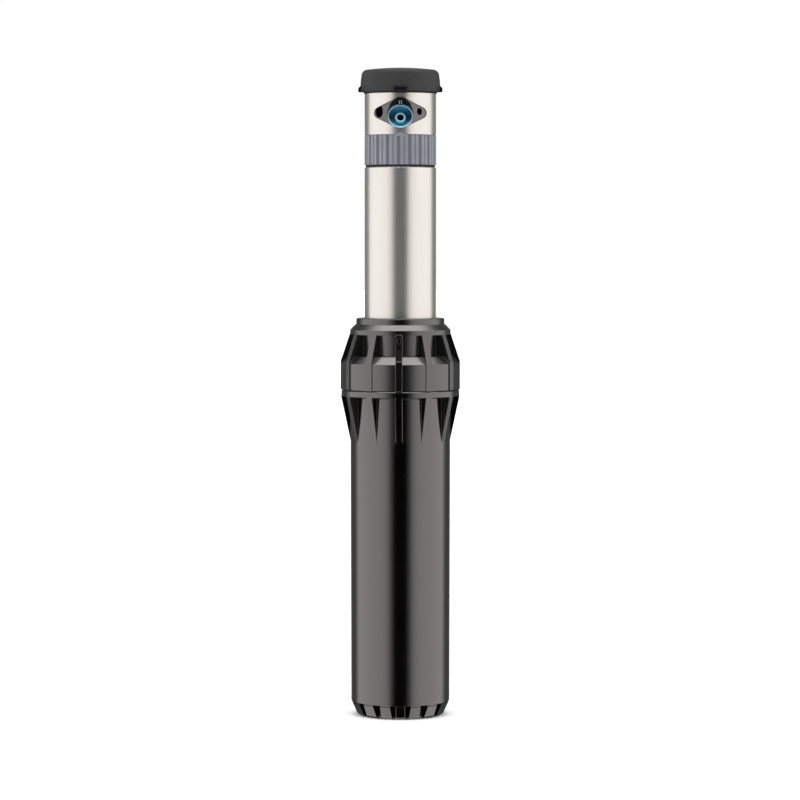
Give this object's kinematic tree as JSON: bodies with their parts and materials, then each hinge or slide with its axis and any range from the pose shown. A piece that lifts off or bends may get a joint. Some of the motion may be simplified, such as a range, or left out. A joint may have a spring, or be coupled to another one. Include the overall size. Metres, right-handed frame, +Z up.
{
  "type": "pop-up rotor sprinkler",
  "caption": "Gear-driven pop-up rotor sprinkler with stainless riser, ribbed can and screw cap, blue nozzle in a windowed turret, rubber top.",
  "frame": {"origin": "centre of the can's bottom face, on the riser's axis", "axes": "+Z up along the riser, towards the rubber cap; the nozzle faces -Y; +X to the right seen from the nozzle's side"},
  "size_m": [0.055, 0.055, 0.2978],
  "materials": {
    "can_plastic": "glossy black moulded plastic with faint flow marks",
    "cap_plastic": "glossy black moulded plastic",
    "seal_rubber": "soft black rubber",
    "support_plastic": "natural acetal",
    "spring_steel": "drawn stainless wire",
    "riser_plastic": "dark glass-filled plastic",
    "sleeve_steel": "stainless, brushed lengthwise",
    "screen_plastic": "moulded screen",
    "gear_plastic": "natural acetal, moulded",
    "pin_steel": "ground stainless",
    "lever_plastic": "grey acetal",
    "grip_plastic": "blue-grey moulded plastic, fluted",
    "turret_plastic": "grey-brown moulded plastic",
    "nozzle_plastic": "blue moulded plastic",
    "cap_rubber": "matte dark grey rubber, lightly worn edges"
  },
  "bodies": {
    "housing": {"body_can": "can_plastic", "body_cap": "cap_plastic", "wiper_seal": "seal_rubber", "seal_support_ring": "support_plastic", "retraction_spring": "spring_steel"},
    "riser_carrier": {"ratchet_ring": "support_plastic"},
    "riser": {"riser_tube": "riser_plastic", "riser_sleeve": "sleeve_steel", "ratchet_clip": "spring_steel", "check_valve_seal": "seal_rubber", "filter_ring": "support_plastic", "filter_screen": "screen_plastic", "stator": "riser_plastic", "poppet_spring": "spring_steel", "gearbox_base": "riser_plastic", "turbine_bush": "support_plastic", "gearbox_shell": "riser_plastic", "gearbox_lid": "riser_plastic", "output_shaft_seal": "seal_rubber", "side_gear_pin": "pin_steel", "thrust_washer": "support_plastic", "turret_bush": "support_plastic"},
    "bypass_valve": {"bypass_poppet": "lever_plastic", "poppet_clip": "spring_steel"},
    "turbine_rotor": {"turbine": "gear_plastic", "turbine_shaft": "pin_steel"},
    "gear_1": {"compound_gear_1": "gear_plastic"},
    "gear_2": {"compound_gear_2": "gear_plastic"},
    "gear_3": {"compound_gear_3": "gear_plastic"},
    "gear_4": {"compound_gear_4": "gear_plastic"},
    "gear_5": {"compound_gear_5": "gear_plastic"},
    "reversing_lever": {"trip_arm": "lever_plastic", "trip_shaft": "pin_steel", "jet_shutter": "lever_plastic"},
    "turret": {"output_tube": "riser_plastic", "output_shaft": "gear_plastic", "centre_gear_pin": "pin_steel", "turret_dust_seal": "seal_rubber", "grip_ring": "grip_plastic", "turret_housing": "turret_plastic", "turret_sleeve": "sleeve_steel", "turret_top_plate": "turret_plastic", "nozzle": "nozzle_plastic", "arc_adjuster_o_ring": "seal_rubber", "rubber_cap": "cap_rubber"},
    "screw": {"nozzle_screw": "pin_steel"},
    "adjuster": {"arc_adjuster": "lever_plastic"},
    "arc_stop": {"arc_ring": "gear_plastic"}
  },
  "joints": [
    {"name": "riser_slide", "type": "slide", "parent": "housing", "child": "riser_carrier", "axis": [0, 0, 1], "range_m": [-0.1016, 0], "deforming": ["retraction_spring"]},
    {"name": "riser_ratchet", "type": "hinge", "parent": "riser_carrier", "child": "riser", "pos_m": [0, 0, 0.124], "axis": [0, 0, 1], "continuous": true},
    {"name": "turret_turn", "type": "hinge", "parent": "riser", "child": "turret", "pos_m": [0, 0, 0.25], "axis": [0, 0, 1], "continuous": true},
    {"name": "turbine_spin", "type": "hinge", "parent": "riser", "child": "turbine_rotor", "pos_m": [0, 0, 0.1665], "axis": [0, 0, 1], "continuous": true},
    {"name": "gear_1_spin", "type": "hinge", "parent": "riser", "child": "gear_1", "pos_m": [0.0063, 0, 0.19], "axis": [0, 0, 1], "continuous": true},
    {"name": "gear_2_spin", "type": "hinge", "parent": "riser", "child": "gear_2", "pos_m": [0, 0, 0.19], "axis": [0, 0, 1], "continuous": true},
    {"name": "gear_3_spin", "type": "hinge", "parent": "riser", "child": "gear_3", "pos_m": [0.0063, 0, 0.19], "axis": [0, 0, 1], "continuous": true},
    {"name": "gear_4_spin", "type": "hinge", "parent": "riser", "child": "gear_4", "pos_m": [0, 0, 0.19], "axis": [0, 0, 1], "continuous": true},
    {"name": "gear_5_spin", "type": "hinge", "parent": "riser", "child": "gear_5", "pos_m": [0.0063, 0, 0.19], "axis": [0, 0, 1], "continuous": true},
    {"name": "bypass_lift", "type": "slide", "parent": "riser", "child": "bypass_valve", "axis": [0, 0, 1], "range_m": [0, 0.0022], "stiffness_N_per_m": 150, "springref_m": -0.001, "deforming": ["poppet_spring"]},
    {"name": "reversing_trip", "type": "hinge", "parent": "riser", "child": "reversing_lever", "pos_m": [-0.0109, 0, 0.19], "axis": [0, 0, 1], "range_deg": [0, 28]},
    {"name": "nozzle_screw_lift", "type": "slide", "parent": "turret", "child": "screw", "axis": [0, 0, 1], "range_m": [0, 0.004]},
    {"name": "arc_adjust", "type": "hinge", "parent": "turret", "child": "adjuster", "pos_m": [0.00336, 0.00252, 0.26], "axis": [0, 0, 1], "range_deg": [0, 1136.6]},
    {"name": "arc_stop_turn", "type": "hinge", "parent": "turret", "child": "arc_stop", "pos_m": [0, 0, 0.227], "axis": [0, 0, 1], "range_deg": [0, 310]}
  ],
  "couplings": [
    {"joint": "gear_1_spin", "follows": "turret_turn", "ratio": -243},
    {"joint": "gear_2_spin", "follows": "turret_turn", "ratio": 81},
    {"joint": "gear_3_spin", "follows": "turret_turn", "ratio": -27},
    {"joint": "gear_4_spin", "follows": "turret_turn", "ratio": 9},
    {"joint": "gear_5_spin", "follows": "turret_turn", "ratio": -3},
    {"joint": "turbine_spin", "follows": "turret_turn", "ratio": 729},
    {"joint": "arc_stop_turn", "follows": "arc_adjust", "ratio": 0.27273}
  ]
}
